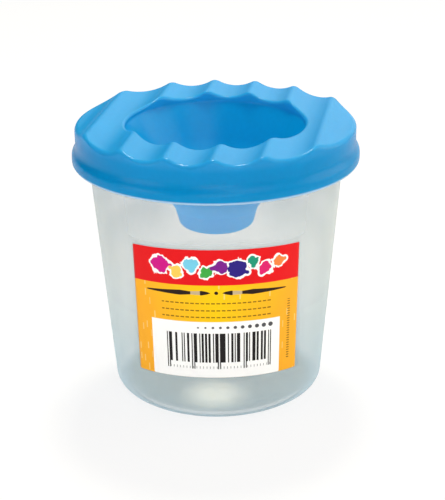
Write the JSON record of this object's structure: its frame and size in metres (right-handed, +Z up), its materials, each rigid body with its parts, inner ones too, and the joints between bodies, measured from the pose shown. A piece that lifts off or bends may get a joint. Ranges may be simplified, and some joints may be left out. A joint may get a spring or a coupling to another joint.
{
  "type": "paint water cup with lid",
  "caption": "Small tapered water cup for painting, with a push-on lid whose grooved top rests brushes and whose funnel keeps water in when it tips.",
  "frame": {"origin": "centre of the foot ring, on the surface that the cup stands on", "axes": "+Z up along the cup's axis, the label faces -Y, +X to the right seen from the label"},
  "size_m": [0.0854, 0.0854, 0.0852],
  "materials": {
    "cup_plastic": "natural translucent polypropylene, slightly frosted",
    "lid_plastic": "blue soft polyethylene, satin",
    "label_paper": "printed gloss label paper"
  },
  "bodies": {
    "cup_body": {"cup": "cup_plastic", "label": "label_paper"},
    "lid_body": {"lid": "lid_plastic"}
  },
  "joints": [
    {"name": "lid_lift", "type": "slide", "parent": "cup_body", "child": "lid_body", "axis": [0, 0, 1], "range_m": [0, 0.06]}
  ]
}
